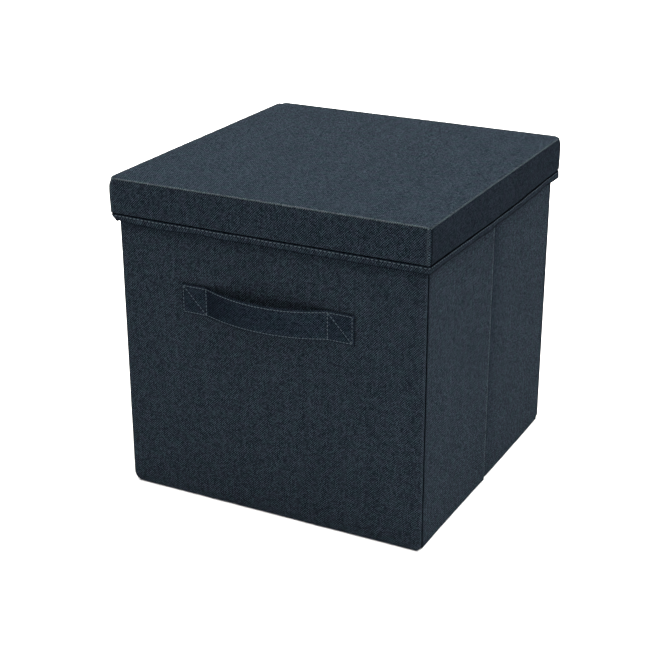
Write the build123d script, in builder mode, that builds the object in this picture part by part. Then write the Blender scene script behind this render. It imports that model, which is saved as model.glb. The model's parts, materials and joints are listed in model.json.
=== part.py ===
"""Lidded fabric storage box that folds flat.

Six stiff wall panels, a base insert and a lift-off lid, each made of a greyboard
wrapped in woven cloth. The side walls are hinged at mid-length and fold inwards,
the front wall closes against the back wall, and the base insert flips up first.

Frame: millimetres, +Z up, the front faces -Y, and the origin is on the floor
under the middle of the box.
"""
from build123d import *
import os

os.makedirs("parts", exist_ok=True)

# ---------------------------------------------------------------- driving sizes
total_height = 320.0
body_width = 318.0              # across X, outside the walls
body_depth = 322.0              # across Y, outside the walls
lid_overhang = 6.0              # how far the lid stands out past each wall
skirt_bottom = 285.5            # height of the lower edge of the lid's skirt boards
hem_bottom = 277.3              # height of the lower edge of the lid's soft hem

wall_cloth = 1.2                # outer cloth with its glue and seam allowance
wall_board = 2.5
wall_lining = 0.8
wall = wall_cloth + wall_board + wall_lining
skirt_board = 2.4
skirt = wall_cloth + skirt_board + wall_lining
base_cloth = 0.7
base_board = 2.2
base_lining = 0.6
base = base_cloth + base_board + base_lining
hem = 2.4                       # thickness of the folded hem

floor_cloth = 0.8
floor_edge = 1.5                # thickness of the floor cloth's turned-up edge
play = 0.1                      # room between pieces that only touch
layer_gap = 0.05                # room between the layers of one panel
edge_round = 1.0                # softened outer edges of every cloth cover
board_round = 1.0               # rubbed outer edges of every greyboard
base_round = 0.5                # softened edges of the thinner base insert
lid_corner = 4.0                # rounded corners of the lid's top panel
lid_room = 0.3                  # between the tops of the walls and the lid
insert_room = 0.4               # between the base insert and the walls folding over it
insert_side_room = 0.5          # between the base insert and each side wall

# --------------------------------------------------------- places worked out once
rim = total_height - wall - lid_room            # top of the walls
base_bottom = floor_cloth + play
base_top = base_bottom + base
wall_bottom = base_top + insert_room
inner_x = body_width / 2 - wall
inner_y = body_depth / 2 - wall
lid_width = body_width + 2 * lid_overhang
lid_depth = body_depth + 2 * lid_overhang

# Fold lines of the side walls. The corner lines lie on the inner faces and the
# middle line stands fold_room outside the outer faces, so the halves close flat.
corner_gap = 0.4
fold_room = 1.5
middle_gap = 0.3
insert_gap = 0.3                                # room around the raised base insert
base_hinge_y = inner_y - insert_gap
front_line = -(inner_y - corner_gap)
rear_line = base_hinge_y - base - insert_gap
middle_line = (front_line + rear_line) / 2
base_length = 309.0
base_width = 2 * (inner_x - insert_side_room)


def facing(direction, along, corner):
    """Plane on a panel's inner face: X along the panel, Y upwards, Z outwards."""
    return Plane(origin=corner, x_dir=along, z_dir=direction)


def wrapped_panel(name, place, width, height, layers, cover_round=edge_round, corner=0.0):
    """A board in a tray of outer cloth that wraps its edges, closed by a lining."""
    cloth, board, lining = layers
    outwards = Axis(place.origin, place.z_dir)

    def slab(start, thickness, inset=0.0, mode=Mode.ADD):
        """Adds or cuts a layer that stays inset from the panel's edges."""
        size = (width - 2 * inset, height - 2 * inset)
        with BuildSketch(place.offset(start)) as outline:
            with Locations((width / 2, height / 2)):
                if corner > inset:
                    RectangleRounded(*size, corner - inset)
                else:
                    Rectangle(*size)
        extrude(outline.sketch, amount=thickness, mode=mode)

    with BuildPart() as cover:
        slab(lining, cloth + board)
        fillet(cover.faces().sort_by(outwards)[-1].edges(), cover_round)
        slab(lining, board, inset=cloth, mode=Mode.SUBTRACT)

    with BuildPart() as stiffener:
        slab(lining + layer_gap, board - 2 * layer_gap, inset=cloth + layer_gap)
        fillet(stiffener.faces().sort_by(outwards)[-1].edges(), board_round)

    with BuildPart() as inside:
        slab(0.0, lining - layer_gap)

    for layer, built in (("cover", cover), ("board", stiffener), ("lining", inside)):
        save(f"{name}_{layer}", built.part)


def save(name, shape):
    shape.label = name
    export_step(shape, f"parts/{name}.step")


X, Y, Z = (1, 0, 0), (0, 1, 0), (0, 0, 1)
MINUS_X, MINUS_Y, MINUS_Z = (-1, 0, 0), (0, -1, 0), (0, 0, -1)
wall_layers = (wall_cloth, wall_board, wall_lining)
wall_height = rim - wall_bottom

# ---------------------------------------------------------- front and back walls
front_place = facing(MINUS_Y, X, (-body_width / 2, -inner_y, wall_bottom))
back_place = facing(Y, MINUS_X, (body_width / 2, inner_y, wall_bottom))
wrapped_panel("front_wall", front_place, body_width, wall_height, wall_layers)
wrapped_panel("back_wall", back_place, body_width, wall_height, wall_layers)

# --------------------------------------------------------- side walls, in halves
half_spans = {
    "front": (front_line, middle_line - middle_gap),
    "rear": (middle_line + middle_gap, rear_line),
}
for half, (start, stop) in half_spans.items():
    right_place = facing(X, Y, (inner_x, start, wall_bottom))
    left_place = facing(MINUS_X, MINUS_Y, (-inner_x, stop, wall_bottom))
    wrapped_panel(f"right_{half}", right_place, stop - start, wall_height, wall_layers)
    wrapped_panel(f"left_{half}", left_place, stop - start, wall_height, wall_layers)

# ------------------------------------- folded cloth that fills the rear corners
for side, sign in (("right", 1), ("left", -1)):
    with BuildPart() as corner:
        gusset_depth = inner_y - rear_line - 2 * insert_gap
        gusset_x = sign * (inner_x + wall / 2)
        gusset_y = (inner_y + rear_line) / 2
        with Locations((gusset_x, gusset_y, wall_bottom)):
            Box(wall, gusset_depth, wall_height, align=(Align.CENTER, Align.CENTER, Align.MIN))
        outer_face = corner.faces().sort_by(Axis.X)[-1 if sign > 0 else 0]
        fillet(outer_face.edges(), edge_round)
    save(f"rear_corner_cloth_{side}", corner.part)

# --------------------------------- floor cloth, sewn up around the wall bottoms
with BuildPart() as floor:
    on_floor = (Align.CENTER, Align.CENTER, Align.MIN)
    Box(body_width, body_depth, wall_bottom - play, align=on_floor)
    fillet(floor.edges().filter_by(Axis.Z), edge_round)
    fillet(floor.faces().sort_by(Axis.Z)[0].edges(), edge_round)
    with Locations((0, 0, floor_cloth)):
        well_width = body_width - 2 * floor_edge
        well_depth = body_depth - 2 * floor_edge
        Box(well_width, well_depth, wall_bottom, align=on_floor, mode=Mode.SUBTRACT)
save("floor_cloth", floor.part)

# ------------------------------ base insert, its outer cloth facing downwards
base_place = Plane(
    origin=(-base_width / 2, base_hinge_y, base_top), x_dir=X, z_dir=MINUS_Z
)
base_layers = (base_cloth, base_board, base_lining)
wrapped_panel("base", base_place, base_width, base_length, base_layers, base_round)

# ------------------------------------------------------------------------- lid
lid_place = Plane(
    origin=(-lid_width / 2, -lid_depth / 2, total_height - wall), x_dir=X, z_dir=Z
)
wrapped_panel("lid_top", lid_place, lid_width, lid_depth, wall_layers, corner=lid_corner)

skirt_layers = (wall_cloth, skirt_board, wall_lining)
skirt_height = total_height - wall - play - skirt_bottom
skirt_x = lid_width / 2 - skirt
skirt_y = lid_depth / 2 - skirt
side_length = 2 * (skirt_y - play)
skirts = {
    "front": (facing(MINUS_Y, X, (-lid_width / 2, -skirt_y, skirt_bottom)), lid_width),
    "back": (facing(Y, MINUS_X, (lid_width / 2, skirt_y, skirt_bottom)), lid_width),
    "right": (facing(X, Y, (skirt_x, -side_length / 2, skirt_bottom)), side_length),
    "left": (facing(MINUS_X, MINUS_Y, (-skirt_x, side_length / 2, skirt_bottom)), side_length),
}
for side, (place, length) in skirts.items():
    wrapped_panel(f"lid_skirt_{side}", place, length, skirt_height, skirt_layers)

# --------------------------------------- soft folded hem under the lid's skirt
hem_inset = 0.4
hem_height = skirt_bottom - play - hem_bottom
hem_x = lid_width / 2 - hem_inset - hem / 2
hem_y = lid_depth / 2 - hem_inset - hem / 2
hem_long = lid_width - 2 * hem_inset
hem_short = 2 * (hem_y - hem / 2 - play)
hems = {
    "front": (0, -hem_y, hem_long, hem),
    "back": (0, hem_y, hem_long, hem),
    "right": (hem_x, 0, hem, hem_short),
    "left": (-hem_x, 0, hem, hem_short),
}
for side, (x, y, size_x, size_y) in hems.items():
    with BuildPart(Plane.XY.offset(hem_bottom)) as strip:
        with Locations((x, y, 0)):
            Box(size_x, size_y, hem_height, align=(Align.CENTER, Align.CENTER, Align.MIN))
        long_axis = Axis.X if size_x > size_y else Axis.Y
        lower_face = strip.faces().sort_by(Axis.Z)[0]
        fillet(lower_face.edges().filter_by(long_axis), edge_round)
    save(f"lid_hem_{side}", strip.part)

# ----------------------------------------------------------------- strap handles
strap = 2.2                     # thickness of the folded strap
strap_height = 30.0
strap_middle = 211.0            # height of the strap's middle line
strap_length = 182.0
strap_end = 28.0                # length of each sewn-down end
strap_bow = 9.0                 # how far the free stretch stands off the wall

for side, sign in (("front", -1), ("back", 1)):
    rest_y = sign * (body_depth / 2 + play + strap / 2)
    bow_y = rest_y + sign * strap_bow
    half_length = strap_length / 2
    free_half = half_length - strap_end
    with BuildPart() as handle:
        with BuildSketch(Plane.XY.offset(strap_middle - strap_height / 2)):
            with BuildLine():
                Line((-half_length, rest_y), (-free_half, rest_y))
                Spline(
                    (-free_half, rest_y), (0, bow_y), (free_half, rest_y),
                    tangents=[(1, 0), (1, 0)],
                )
                Line((free_half, rest_y), (half_length, rest_y))
            trace(line_width=strap)
        extrude(amount=strap_height)
    save(f"{side}_handle", handle.part)
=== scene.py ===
import json
import math
import bmesh
import bpy
import numpy as np
from mathutils import Vector
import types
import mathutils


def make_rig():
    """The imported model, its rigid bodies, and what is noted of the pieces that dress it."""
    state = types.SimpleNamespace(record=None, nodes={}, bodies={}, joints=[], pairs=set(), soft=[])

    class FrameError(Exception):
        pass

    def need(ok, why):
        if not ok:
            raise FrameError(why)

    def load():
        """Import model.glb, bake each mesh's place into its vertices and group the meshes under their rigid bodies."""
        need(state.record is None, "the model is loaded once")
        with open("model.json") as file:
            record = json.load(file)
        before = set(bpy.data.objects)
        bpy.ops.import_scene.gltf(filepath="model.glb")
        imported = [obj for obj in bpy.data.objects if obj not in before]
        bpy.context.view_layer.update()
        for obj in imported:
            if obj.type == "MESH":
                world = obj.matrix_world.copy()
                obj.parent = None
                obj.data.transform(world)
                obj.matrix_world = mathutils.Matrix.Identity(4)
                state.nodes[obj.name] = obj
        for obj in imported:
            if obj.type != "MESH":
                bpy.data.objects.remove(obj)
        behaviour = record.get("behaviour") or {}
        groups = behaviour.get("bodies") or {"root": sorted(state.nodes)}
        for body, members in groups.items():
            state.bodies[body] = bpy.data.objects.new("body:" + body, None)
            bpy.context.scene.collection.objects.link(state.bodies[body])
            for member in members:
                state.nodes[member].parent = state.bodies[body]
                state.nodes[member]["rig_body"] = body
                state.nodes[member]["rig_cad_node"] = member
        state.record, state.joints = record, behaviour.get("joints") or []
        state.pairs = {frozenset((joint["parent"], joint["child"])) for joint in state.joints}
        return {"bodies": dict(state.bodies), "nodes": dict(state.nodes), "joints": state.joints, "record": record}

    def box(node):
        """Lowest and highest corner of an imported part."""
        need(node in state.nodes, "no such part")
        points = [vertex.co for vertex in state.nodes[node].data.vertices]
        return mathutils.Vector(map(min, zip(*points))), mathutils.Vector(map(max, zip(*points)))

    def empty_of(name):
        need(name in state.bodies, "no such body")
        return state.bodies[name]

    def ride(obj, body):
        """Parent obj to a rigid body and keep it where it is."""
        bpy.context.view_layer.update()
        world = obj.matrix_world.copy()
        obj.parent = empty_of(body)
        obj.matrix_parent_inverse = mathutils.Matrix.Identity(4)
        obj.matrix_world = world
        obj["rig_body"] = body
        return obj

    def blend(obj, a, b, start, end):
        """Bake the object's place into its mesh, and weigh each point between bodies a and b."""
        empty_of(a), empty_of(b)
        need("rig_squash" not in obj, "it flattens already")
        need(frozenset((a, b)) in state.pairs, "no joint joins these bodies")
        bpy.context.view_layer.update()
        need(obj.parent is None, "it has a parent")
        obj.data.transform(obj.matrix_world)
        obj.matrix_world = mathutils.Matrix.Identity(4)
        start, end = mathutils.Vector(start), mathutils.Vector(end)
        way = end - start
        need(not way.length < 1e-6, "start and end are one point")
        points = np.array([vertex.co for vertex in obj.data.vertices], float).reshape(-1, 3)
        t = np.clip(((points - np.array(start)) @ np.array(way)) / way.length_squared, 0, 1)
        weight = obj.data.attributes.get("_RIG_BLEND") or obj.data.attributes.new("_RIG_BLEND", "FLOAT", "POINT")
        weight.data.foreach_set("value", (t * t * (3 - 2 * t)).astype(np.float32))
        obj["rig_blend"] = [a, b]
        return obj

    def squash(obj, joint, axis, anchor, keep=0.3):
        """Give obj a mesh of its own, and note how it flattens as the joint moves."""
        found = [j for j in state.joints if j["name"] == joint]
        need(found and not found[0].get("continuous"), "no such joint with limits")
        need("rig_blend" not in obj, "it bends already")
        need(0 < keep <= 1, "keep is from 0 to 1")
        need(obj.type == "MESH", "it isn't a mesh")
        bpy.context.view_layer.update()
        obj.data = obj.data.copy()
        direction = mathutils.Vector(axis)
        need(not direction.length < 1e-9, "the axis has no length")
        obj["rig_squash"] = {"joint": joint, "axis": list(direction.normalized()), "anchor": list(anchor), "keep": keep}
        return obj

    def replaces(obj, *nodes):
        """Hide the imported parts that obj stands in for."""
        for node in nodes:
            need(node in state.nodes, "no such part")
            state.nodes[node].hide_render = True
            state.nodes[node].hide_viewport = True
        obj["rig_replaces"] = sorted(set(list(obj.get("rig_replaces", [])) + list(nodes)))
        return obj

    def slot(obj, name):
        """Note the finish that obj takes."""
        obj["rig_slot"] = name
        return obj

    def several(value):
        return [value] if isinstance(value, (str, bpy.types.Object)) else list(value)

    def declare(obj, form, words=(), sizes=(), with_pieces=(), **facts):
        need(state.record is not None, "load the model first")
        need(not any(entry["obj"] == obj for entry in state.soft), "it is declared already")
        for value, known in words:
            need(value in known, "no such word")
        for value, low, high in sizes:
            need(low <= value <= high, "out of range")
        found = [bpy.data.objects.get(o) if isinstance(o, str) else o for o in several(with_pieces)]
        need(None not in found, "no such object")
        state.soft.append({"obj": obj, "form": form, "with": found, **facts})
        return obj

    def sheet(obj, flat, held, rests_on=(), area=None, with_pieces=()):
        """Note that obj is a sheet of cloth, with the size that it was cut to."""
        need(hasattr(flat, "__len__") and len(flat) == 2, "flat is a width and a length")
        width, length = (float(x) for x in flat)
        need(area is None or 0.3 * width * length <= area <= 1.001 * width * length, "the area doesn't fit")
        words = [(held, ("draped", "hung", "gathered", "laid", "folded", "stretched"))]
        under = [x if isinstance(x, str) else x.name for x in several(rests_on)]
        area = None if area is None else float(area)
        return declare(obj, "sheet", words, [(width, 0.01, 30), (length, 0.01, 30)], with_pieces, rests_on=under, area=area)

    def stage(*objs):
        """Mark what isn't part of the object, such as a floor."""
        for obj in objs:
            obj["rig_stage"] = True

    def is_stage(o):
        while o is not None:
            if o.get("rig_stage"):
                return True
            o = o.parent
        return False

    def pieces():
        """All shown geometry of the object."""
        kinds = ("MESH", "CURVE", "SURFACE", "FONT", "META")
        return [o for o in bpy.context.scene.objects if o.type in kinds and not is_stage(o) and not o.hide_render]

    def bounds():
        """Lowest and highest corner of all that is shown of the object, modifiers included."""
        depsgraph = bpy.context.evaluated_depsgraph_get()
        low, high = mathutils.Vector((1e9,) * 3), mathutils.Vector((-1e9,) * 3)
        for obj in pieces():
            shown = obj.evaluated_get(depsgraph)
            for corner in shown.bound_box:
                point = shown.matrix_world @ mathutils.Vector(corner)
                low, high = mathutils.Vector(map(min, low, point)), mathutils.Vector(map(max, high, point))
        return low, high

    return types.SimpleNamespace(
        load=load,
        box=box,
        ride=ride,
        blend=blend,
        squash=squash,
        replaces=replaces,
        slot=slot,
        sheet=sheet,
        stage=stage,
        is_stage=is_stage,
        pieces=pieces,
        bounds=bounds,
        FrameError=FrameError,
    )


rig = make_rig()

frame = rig.load()
cad_bounds = [list(corner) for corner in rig.bounds()]

# Looks of the lidded fabric storage box. Lengths are metres in the CAD frame:
# +Z is up, the front faces -Y and +X is the right side seen from the front.

MM = 0.001
X, Y, Z = (np.array(v, float) for v in ((1, 0, 0), (0, 1, 0), (0, 0, 1)))

CLOTH = 0.8 * MM                # thickness of the outer cloth
LINING = 0.5 * MM
LINING_ROLL = 0.2 * MM
YARN = 1.15 * MM                # distance between neighbouring yarns
GRID = 7.0 * MM                 # widest spacing of a cloth's mesh
FINE = 0.9 * MM                 # spacing beside an edge
ROLL_STEPS = 5                  # mesh rows round a rolled edge


# =================================================================== materials
class Nodes:
    """A short way to write shader nodes."""

    def __init__(self, name):
        self.material = bpy.data.materials.new(name)
        self.material.use_nodes = True
        self.tree = self.material.node_tree
        self.shader = self.tree.nodes["Principled BSDF"]

    def add(self, kind, **values):
        node = self.tree.nodes.new(kind)
        for key, value in values.items():
            setattr(node, key, value)
        return node

    def fill(self, socket, value):
        """Links the socket to another, or sets it to a number or a colour."""
        if isinstance(value, tuple):
            socket.default_value = (*value, 1.0)
        elif isinstance(value, (int, float)):
            socket.default_value = value
        else:
            self.tree.links.new(value, socket)

    def math(self, operation, *inputs, clamp=False):
        node = self.add("ShaderNodeMath", operation=operation, use_clamp=clamp)
        for socket, value in zip(node.inputs, inputs):
            self.fill(socket, value)
        return node.outputs[0]

    def mix(self, factor, low, high, blend="MIX"):
        node = self.add("ShaderNodeMix", data_type="RGBA", blend_type=blend)
        for socket, value in zip((node.inputs[0], node.inputs[6], node.inputs[7]), (factor, low, high)):
            self.fill(socket, value)
        return node.outputs[2]

    def vector(self, x, y, z=0.0):
        node = self.add("ShaderNodeCombineXYZ")
        for socket, value in zip(node.inputs, (x, y, z)):
            self.fill(socket, value)
        return node.outputs[0]

    def noise(self, vector, scale, detail=2.0):
        node = self.add("ShaderNodeTexNoise")
        self.fill(node.inputs["Vector"], vector)
        self.fill(node.inputs["Scale"], scale)
        self.fill(node.inputs["Detail"], detail)
        return node.outputs["Fac"]

    def random(self, vector):
        node = self.add("ShaderNodeTexWhiteNoise", noise_dimensions="3D")
        self.fill(node.inputs["Vector"], vector)
        return node.outputs["Value"]

    def cloth_uv(self):
        node = self.add("ShaderNodeUVMap", uv_map="cloth")
        parts = self.add("ShaderNodeSeparateXYZ")
        self.fill(parts.inputs[0], node.outputs[0])
        return node.outputs[0], parts.outputs[0], parts.outputs[1]

    def bump(self, height, distance, strength=1.0):
        node = self.add("ShaderNodeBump")
        self.fill(node.inputs["Strength"], strength)
        self.fill(node.inputs["Distance"], distance)
        self.fill(node.inputs["Height"], height)
        self.fill(self.shader.inputs["Normal"], node.outputs[0])

    def surface(self, colour, roughness, sheen=0.0, specular=0.2):
        values = {
            "Base Color": colour,
            "Roughness": roughness,
            "Specular IOR Level": specular,
            "Sheen Weight": sheen,
            "Sheen Roughness": 0.4,
        }
        for name, value in values.items():
            self.fill(self.shader.inputs[name], value)
        return self.material


# how much of the way from dark to light each part of the weave's tone makes up
WARP_SHARE = 0.66
CROSSING_SHARE = 0.56
YARN_SHARE = 0.08
FLECK_SHARE = 0.46
BLOTCH_SHARE = 0.05
CLOUD_SHARE = 0.10
HUES = ((1.06, 0.97, 1.03), (0.92, 1.03, 0.98))
# tints of the painted shade and of the painted highlights
SHADE_TINT, HIGHLIGHT_TINT = (0.90, 1.0, 1.16), (1.10, 1.0, 0.84)


def woven(name, dark, light, sheen, seed=0.0):
    """Heathered plain weave: light warp over dark weft, each crossing a tone of its own.

    The attribute "tone" paints light and shade into the cloth: painted highlights where it is above 0, painted shade
    where it is below.
    """
    n = Nodes(name)
    uv, u, v = n.cloth_uv()
    # the yarns wander a little instead of running dead straight
    drift_u = n.math("MULTIPLY", n.noise(uv, 130.0, 1.0), 0.9)
    drift_v = n.math("MULTIPLY", n.noise(n.vector(v, u, 4.0), 110.0, 1.0), 0.9)
    across = n.math("ADD", n.math("DIVIDE", u, YARN), drift_u)
    along = n.math("ADD", n.math("DIVIDE", v, YARN), drift_v)
    warp = n.math("FLOOR", across)
    weft = n.math("FLOOR", along)
    warp_on_top = n.math("FLOORED_MODULO", n.math("ADD", warp, weft), 2.0)
    weft_on_top = n.math("SUBTRACT", 1.0, warp_on_top)

    # each crossing is an oval bump, long in the direction of the yarn on top
    in_warp = n.math("MULTIPLY", n.math("SUBTRACT", n.math("FRACT", across), 0.5), math.pi)
    in_weft = n.math("MULTIPLY", n.math("SUBTRACT", n.math("FRACT", along), 0.5), math.pi)
    round_u = n.math("COSINE", in_warp)
    round_v = n.math("COSINE", in_weft)
    warp_shape = n.math("MULTIPLY", round_u, n.math("MULTIPLY_ADD", round_v, 0.4, 0.6))
    weft_shape = n.math("MULTIPLY", round_v, n.math("MULTIPLY_ADD", round_u, 0.4, 0.6))
    warp_height = n.math("MULTIPLY", warp_shape, warp_on_top)
    height = n.math("MULTIPLY_ADD", weft_shape, weft_on_top, warp_height)

    # tone: which yarn is on top, the single crossing, the yarn, and soft blotches
    crossing = n.random(n.vector(warp, weft, 1.0 + seed))
    warp_tone = n.random(n.vector(warp, 7.0 + seed))
    fleck = n.noise(n.vector(u, n.math("MULTIPLY", v, 0.7), seed), 420.0, 2.0)
    blotch = n.noise(uv, 90.0, 3.0)
    cloud = n.noise(uv, 22.0, 1.0)
    tone = n.math("MULTIPLY", warp_on_top, WARP_SHARE)
    for part, share in (
        (crossing, CROSSING_SHARE), (warp_tone, YARN_SHARE), (fleck, FLECK_SHARE),
        (blotch, BLOTCH_SHARE), (cloud, CLOUD_SHARE),
    ):
        tone = n.math("MULTIPLY_ADD", n.math("SUBTRACT", part, 0.5), share, tone)
    colour = n.mix(tone, dark, light)
    hue = n.math("MULTIPLY_ADD", n.noise(n.vector(u, v, 9.0), 120.0, 1.0), 3.0, -1.0, clamp=True)
    colour = n.mix(1.0, colour, n.mix(hue, *HUES), "MULTIPLY")
    painted_light = n.add("ShaderNodeAttribute", attribute_name="tone").outputs["Fac"]
    # painted shade is tinted bluer and painted highlights greyer
    lit_share = n.math("MULTIPLY_ADD", painted_light, 0.45, 0.5, clamp=True)
    colour = n.mix(1.0, colour, n.mix(lit_share, SHADE_TINT, HIGHLIGHT_TINT), "MULTIPLY")
    # painted shade: darker in the weave's hollows, times the painted light and shade of the tone attribute
    shade = n.math("MULTIPLY", n.math("MULTIPLY_ADD", height, 0.6, 0.45), n.math("ADD", painted_light, 1.0))
    n.bump(height, 0.18 * MM, 0.8)
    return n.surface(n.mix(1.0, colour, n.vector(shade, shade, shade), "MULTIPLY"), 0.95, sheen, 0.0)


def felted(name, dark, light):
    """Thin non-woven lining with its grid of pressed bonding points."""
    n = Nodes(name)
    uv, u, v = n.cloth_uv()
    pitch = 1.6 * MM
    waves_across = [
        n.math("COSINE", n.math("MULTIPLY", axis, 2 * math.pi / pitch))
        for axis in (n.math("ADD", u, v), n.math("SUBTRACT", u, v))
    ]
    dot = n.math("MULTIPLY", *waves_across)
    fibre = n.noise(uv, 900.0, 4.0)
    cloud = n.noise(uv, 30.0, 2.0)
    tone = n.math("MULTIPLY_ADD", fibre, 0.7, n.math("MULTIPLY", cloud, 0.4))
    tone = n.math("MULTIPLY_ADD", dot, 0.12, tone, clamp=True)
    n.bump(n.math("MULTIPLY_ADD", dot, 0.5, fibre), 0.12 * MM, 0.8)
    return n.surface(n.mix(tone, dark, light), 0.85, 0.1)


def pressed_board(name, dark, light):
    """Grey recycled board: short fibres and darker specks."""
    n = Nodes(name)
    place = n.add("ShaderNodeTexCoord").outputs["Object"]
    fibre = n.noise(place, 700.0, 5.0)
    cloud = n.noise(place, 60.0, 3.0)
    speck = n.math("GREATER_THAN", n.noise(place, 1500.0, 1.0), 0.68)
    tone = n.math("MULTIPLY_ADD", fibre, 0.6, n.math("MULTIPLY", cloud, 0.4))
    tone = n.math("SUBTRACT", tone, n.math("MULTIPLY", speck, 0.5), clamp=True)
    n.bump(fibre, 0.1 * MM, 0.6)
    return n.surface(n.mix(tone, dark, light), 0.9)


def sewing_thread(name, dark, light):
    """Two-ply thread: fine diagonal ridges along each stitch."""
    n = Nodes(name)
    uv, u, v = n.cloth_uv()
    ply = n.math("SINE", n.math("MULTIPLY", n.math("ADD", u, v), 2 * math.pi / (0.5 * MM)))
    tone = n.math("MULTIPLY_ADD", ply, 0.3, n.math("MULTIPLY", n.noise(uv, 400.0), 0.9), clamp=True)
    n.bump(ply, 0.05 * MM, 0.7)
    return n.surface(n.mix(tone, dark, light), 0.8, 0.0, 0.05)


def pale_floor():
    n = Nodes("pale_floor")
    place = n.add("ShaderNodeTexCoord").outputs["Object"]
    return n.surface(n.mix(n.noise(place, 3.0), (0.90, 0.90, 0.90), (0.93, 0.93, 0.93)), 0.9)


WEFT_COLOUR = (0.0008, 0.0016, 0.0030)
OUTER = woven("woven_outer", WEFT_COLOUR, (0.0440, 0.0600, 0.0785), 0.006)
STRAP = woven("woven_strap", WEFT_COLOUR, (0.0275, 0.0400, 0.0560), 0.003, seed=5.0)
INSIDE = felted("nonwoven_lining", (0.018, 0.021, 0.025), (0.070, 0.077, 0.085))
BOARD = pressed_board("grey_board", (0.16, 0.15, 0.13), (0.42, 0.39, 0.34))
THREAD = sewing_thread("sewing_thread", (0.040, 0.054, 0.066), (0.095, 0.118, 0.138))


# ================================================================ mesh helpers
def waves(points, wavelength, seed, count=14):
    """Smooth random height from about -1 to 1 at each point: a sum of plane waves."""
    rng = np.random.default_rng(seed)
    directions = rng.normal(size=(count, 3))
    directions /= np.linalg.norm(directions, axis=1)[:, None]
    rates = 2 * math.pi / wavelength * rng.uniform(0.6, 1.5, count)
    phases = rng.uniform(0, 2 * math.pi, count)
    return np.sin(points @ (directions * rates[:, None]).T + phases).sum(1) / math.sqrt(count)


def hill(distance, width):
    """A smooth bump of height 1 at distance 0."""
    return np.exp(-((distance / width) ** 2))


def graded(start, stop, fine, coarse, growth=1.35):
    """Places between start and stop, close together at both ends."""
    reach, step, steps = 0.0, fine, []
    while reach + step < (stop - start) / 2:
        reach += step
        steps.append(reach)
        step = min(step * growth, coarse)
    steps = np.array(steps)
    return np.concatenate([start + steps, stop - steps[::-1]])


def make_object(name, points, faces, uvs, material, sharp=50.0, tones=None):
    """A smooth mesh object with the UV map "cloth", which is in metres of cloth."""
    mesh = bpy.data.meshes.new(name)
    mesh.from_pydata([tuple(p) for p in points], [], faces)
    layer = mesh.uv_layers.new(name="cloth")
    corner_vertex = np.zeros(len(mesh.loops), int)
    mesh.loops.foreach_get("vertex_index", corner_vertex)
    layer.data.foreach_set("uv", np.asarray(uvs, float)[corner_vertex].ravel())
    if tones is not None:
        painted_light = mesh.attributes.new("tone", "FLOAT", "POINT")
        painted_light.data.foreach_set("value", np.asarray(tones, float))
    mesh.materials.append(material)
    mesh.validate()
    mesh.shade_smooth()
    mesh.set_sharp_from_angle(angle=math.radians(sharp))
    thing = bpy.data.objects.new(name, mesh)
    bpy.context.scene.collection.objects.link(thing)
    return thing


def merge_doubles(thing, turn_out=True):
    """Merges doubled points, and turns the faces of a closed piece outwards."""
    work = bmesh.new()
    work.from_mesh(thing.data)
    bmesh.ops.remove_doubles(work, verts=work.verts, dist=1e-6)
    bmesh.ops.dissolve_degenerate(work, edges=work.edges, dist=1e-7)
    if turn_out:
        bmesh.ops.recalc_face_normals(work, faces=work.faces)
    work.to_mesh(thing.data)
    work.free()
    return thing


def thicken(thing, thickness, sharp=50.0):
    """Gives a sheet its thickness on the inner side and keeps the result."""
    solid = thing.modifiers.new("thickness", "SOLIDIFY")
    solid.thickness = thickness
    solid.offset = -1.0
    solid.use_quality_normals = True
    graph = bpy.context.evaluated_depsgraph_get()
    mesh = bpy.data.meshes.new_from_object(thing.evaluated_get(graph))
    thing.modifiers.clear()
    thing.data = mesh
    mesh.set_sharp_from_angle(angle=math.radians(sharp))
    return thing


def cut_level(thing, height, name):
    """Cuts a sheet level across and gives its lower part as a new object."""
    lower = thing.copy()
    lower.data = thing.data.copy()
    lower.name = name
    bpy.context.scene.collection.objects.link(lower)
    for part, upper in ((thing, True), (lower, False)):
        work = bmesh.new()
        work.from_mesh(part.data)
        everything = work.verts[:] + work.edges[:] + work.faces[:]
        bmesh.ops.bisect_plane(
            work, geom=everything, plane_co=(0, 0, height), plane_no=(0, 0, 1),
            clear_inner=upper, clear_outer=not upper,
        )
        work.to_mesh(part.data)
        work.free()
    return lower


class Panel:
    """A flat place taken from a CAD node: x along it, y across it, z outwards."""

    def __init__(self, node, outward, along):
        low, high = (np.array(corner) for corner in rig.box(node))
        self.z = np.array(outward, float)
        self.x = np.array(along, float)
        self.y = np.cross(self.z, self.x)
        self.origin = np.zeros(3)
        self.size = []
        for axis in (self.x, self.y, self.z):
            ends = sorted((axis @ low, axis @ high))
            self.origin += axis * ends[0]
            self.size.append(ends[1] - ends[0])

    def grow(self, left=0.0, right=0.0, low=0.0, high=0.0):
        """Moves the panel's edges outwards."""
        self.origin = self.origin - self.x * left - self.y * low
        width, height, thick = self.size
        self.size = [width + left + right, height + low + high, thick]
        return self

    def at(self, local):
        return self.origin + local @ np.array([self.x, self.y, self.z])


def mesh_rows(length, rolls, depth):
    """Mesh rows across a panel.

    Gives their places, their places on the flat cloth, and which are on the rim.
    """
    first, last = rolls
    angle = np.linspace(math.pi / 2, 0, ROLL_STEPS)
    inner = graded(first, length - last, FINE, GRID)
    place = np.concatenate([
        [0.0], first * (1 - np.sin(angle)), inner, (length - last * (1 - np.sin(angle)))[::-1], [length]
    ])
    start, end = first * (1 - angle), (length - last * (1 - angle))[::-1]
    cloth = np.concatenate([[start[0] - depth + first], start, inner, end, [end[-1] + depth - last]])
    rim = np.zeros(len(place), bool)
    rim[[0, -1]] = True
    return place, cloth, rim


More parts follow.
